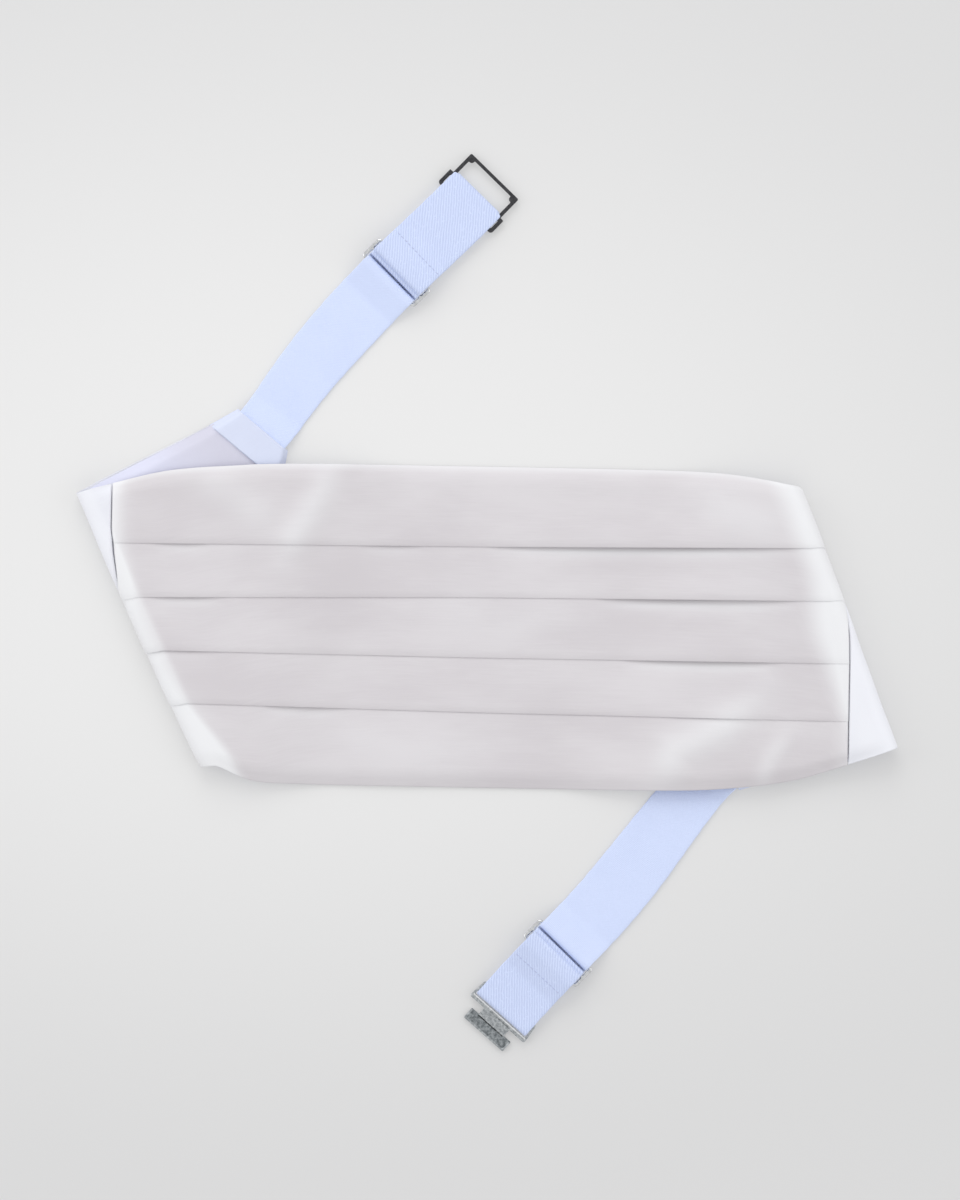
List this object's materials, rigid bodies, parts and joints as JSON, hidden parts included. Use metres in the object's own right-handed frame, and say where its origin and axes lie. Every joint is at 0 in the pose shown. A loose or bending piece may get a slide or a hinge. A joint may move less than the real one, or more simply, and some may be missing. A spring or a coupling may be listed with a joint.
{
  "type": "cummerbund",
  "caption": "Pleated satin dress cummerbund lying face up, tapered ends folded under, with adjustable webbing straps, slides, a tongue hook and its catch loop.",
  "frame": {"origin": "middle of the whole outline seen from above, on the surface that the cummerbund lies on", "axes": "+X along the waist to the picture's right, +Y up the front of the panel to the picture's top, +Z out of the panel's face"},
  "size_m": [0.3142, 0.3452, 0.0117],
  "materials": {
    "pleated_satin": "silver-white satin, soft sheen along the pleats",
    "tab_satin": "smooth silver-white satin",
    "lining": "thin pale lilac-white lining, soft sheen",
    "webbing": "pale blue-white ribbed elastic webbing, matt",
    "nickel": "dull nickel plate",
    "gunmetal": "dark gunmetal plate"
  },
  "bodies": {
    "root": {"pleated_front": "pleated_satin", "lining": "lining", "left_tab": "tab_satin", "right_tab": "tab_satin", "left_strap": "webbing", "right_strap": "webbing", "left_slide": "nickel", "right_slide": "nickel", "catch_loop": "gunmetal", "tongue_hook": "nickel"}
  },
  "joints": []
}
